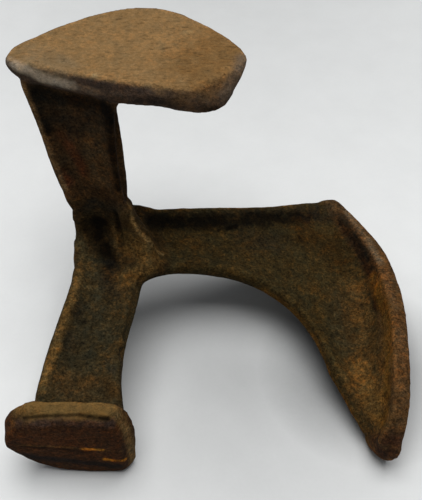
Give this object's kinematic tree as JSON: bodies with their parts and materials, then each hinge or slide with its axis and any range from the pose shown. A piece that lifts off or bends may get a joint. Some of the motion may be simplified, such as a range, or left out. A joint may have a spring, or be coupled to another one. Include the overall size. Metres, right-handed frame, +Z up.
{
  "type": "cobbler's anvil",
  "caption": "Cast-iron cobbler's anvil: ribbed arms meet in a hub and carry a small sole face, a large sole face and a heel face; the large sole and the heel stand on the floor.",
  "frame": {"origin": "middle of the anvil's footprint, on the floor it stands on", "axes": "+Z up out of the level small sole face; +X towards the large sole, away from the hub; +Y from the heel plate back towards the small sole"},
  "size_m": [0.254, 0.2144, 0.2],
  "materials": {
    "small_sole": "bare cast iron, light brown rust, worn by use",
    "small_sole_arm": "bare cast iron, dark brown rust",
    "large_sole": "bare cast iron, brown rust, worn by use",
    "large_sole_arm": "bare cast iron, olive brown rust",
    "heel_plate": "bare cast iron, dark brown rust, worn by use",
    "heel_arm": "bare cast iron, olive brown rust",
    "hub": "bare cast iron, nearly black in the corners"
  },
  "bodies": {
    "root": {"small_sole": "small_sole", "small_sole_arm": "small_sole_arm", "large_sole": "large_sole", "large_sole_arm": "large_sole_arm", "heel_plate": "heel_plate", "heel_arm": "heel_arm", "hub": "hub"}
  },
  "joints": []
}
